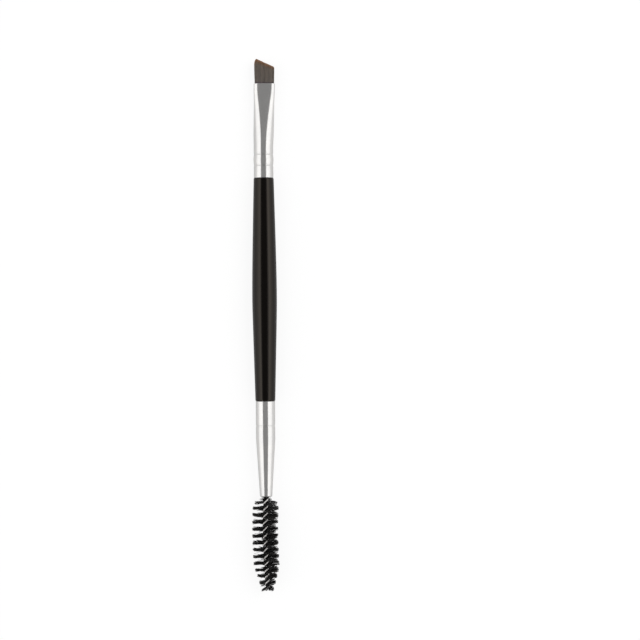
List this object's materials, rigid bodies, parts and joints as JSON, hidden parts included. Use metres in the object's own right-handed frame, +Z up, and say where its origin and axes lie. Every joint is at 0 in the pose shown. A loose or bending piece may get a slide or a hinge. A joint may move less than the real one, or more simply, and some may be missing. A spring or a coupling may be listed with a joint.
{
  "type": "eyebrow brush",
  "caption": "Double-ended eyebrow brush: a flat brush with a slanted cut at one end of a turned wooden handle, a twisted-wire spoolie at the other.",
  "frame": {"origin": "on the floor under the middle of the brush, which lies on its belly and its spoolie", "axes": "+Y along the brush from the spoolie to the flat brush head, +Z up, out of the head's flat face; the long corner of the slanted cut is on the -X side"},
  "size_m": [0.0081, 0.1602, 0.0078],
  "materials": {
    "lacquered_wood": "satin black lacquer",
    "ferrule_metal": "polished",
    "brush_hair": "matt, darker at the root",
    "glue": "clear amber epoxy",
    "wire": "bright drawn wire",
    "bristle_nylon": "black nylon, slight sheen"
  },
  "bodies": {
    "root": {"handle": "lacquered_wood", "brush_ferrule": "ferrule_metal", "brush_hair": "brush_hair", "hair_glue": "glue", "spoolie_ferrule": "ferrule_metal", "spoolie_glue": "glue", "spoolie_wire": "wire", "spoolie_bristles": "bristle_nylon"}
  },
  "joints": []
}
